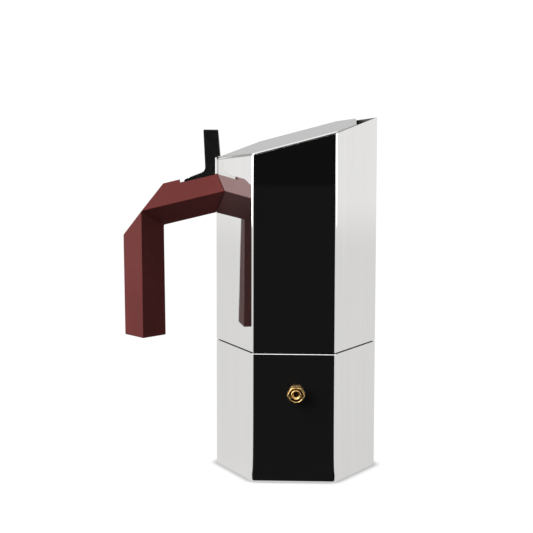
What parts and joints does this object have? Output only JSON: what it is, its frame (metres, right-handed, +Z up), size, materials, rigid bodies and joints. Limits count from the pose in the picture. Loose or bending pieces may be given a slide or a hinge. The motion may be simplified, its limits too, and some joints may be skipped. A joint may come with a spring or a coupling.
{
  "type": "moka pot",
  "caption": "Hexagonal stove-top moka pot: boiler, funnel, screw-on collector with spout, slanted lid, faceted handle and safety valve.",
  "frame": {"origin": "centre of the boiler's flat underside", "axes": "+Z up along the pot's axis, +X from the axis to the spout (the handle is at -X), +Y to the back, so the safety valve points along -Y"},
  "size_m": [0.1578, 0.0917, 0.2195],
  "materials": {
    "polished_aluminium": "mirror polished",
    "spun_aluminium": "satin",
    "cast_aluminium": "satin",
    "brass": "turned",
    "steel": "satin",
    "silicone_rubber": "matt",
    "maroon_plastic": "fine satin"
  },
  "bodies": {
    "boiler": {"boiler": "polished_aluminium", "valve_body": "brass", "valve_cap": "brass", "valve_spring": "steel"},
    "valve_plug": {"valve_plug": "brass"},
    "funnel": {"funnel": "spun_aluminium", "funnel_sieve": "spun_aluminium"},
    "filter_plate": {"filter_plate": "spun_aluminium"},
    "gasket": {"gasket": "silicone_rubber"},
    "collector": {"collector": "polished_aluminium", "riser": "cast_aluminium", "riser_hood": "cast_aluminium", "handle": "maroon_plastic", "handle_pin_inner": "steel", "handle_pin_outer": "steel", "hinge_pin": "steel"},
    "lid": {"lid": "polished_aluminium", "lid_lever": "polished_aluminium", "lever_pin_lower": "steel", "lever_pin_upper": "steel"}
  },
  "joints": [
    {"name": "valve_lift", "type": "slide", "parent": "boiler", "child": "valve_plug", "axis": [0, -1, 0], "range_m": [0, 0.001], "stiffness_N_per_m": 400, "springref_m": -0.002, "deforming": ["valve_spring"]},
    {"name": "funnel_lift", "type": "slide", "parent": "boiler", "child": "funnel", "axis": [0, 0, 1], "range_m": [0, 0.1]},
    {"name": "collector_lift", "type": "slide", "parent": "funnel", "child": "filter_plate", "axis": [0, 0, 1], "range_m": [0, 0.12]},
    {"name": "collector_turn", "type": "hinge", "parent": "filter_plate", "child": "gasket", "pos_m": [0, 0, 0.0946], "axis": [0, 0, 1], "range_deg": [0, 630]},
    {"name": "thread_rise", "type": "slide", "parent": "gasket", "child": "collector", "axis": [0, 0, 1], "range_m": [0, 0.0053]},
    {"name": "lid_hinge", "type": "hinge", "parent": "collector", "child": "lid", "pos_m": [-0.0674, 0, 0.17697], "axis": [0, -1, 0], "range_deg": [0, 76]}
  ],
  "couplings": [
    {"joint": "thread_rise", "follows": "collector_turn", "m_per_rad": 0.00047746}
  ]
}
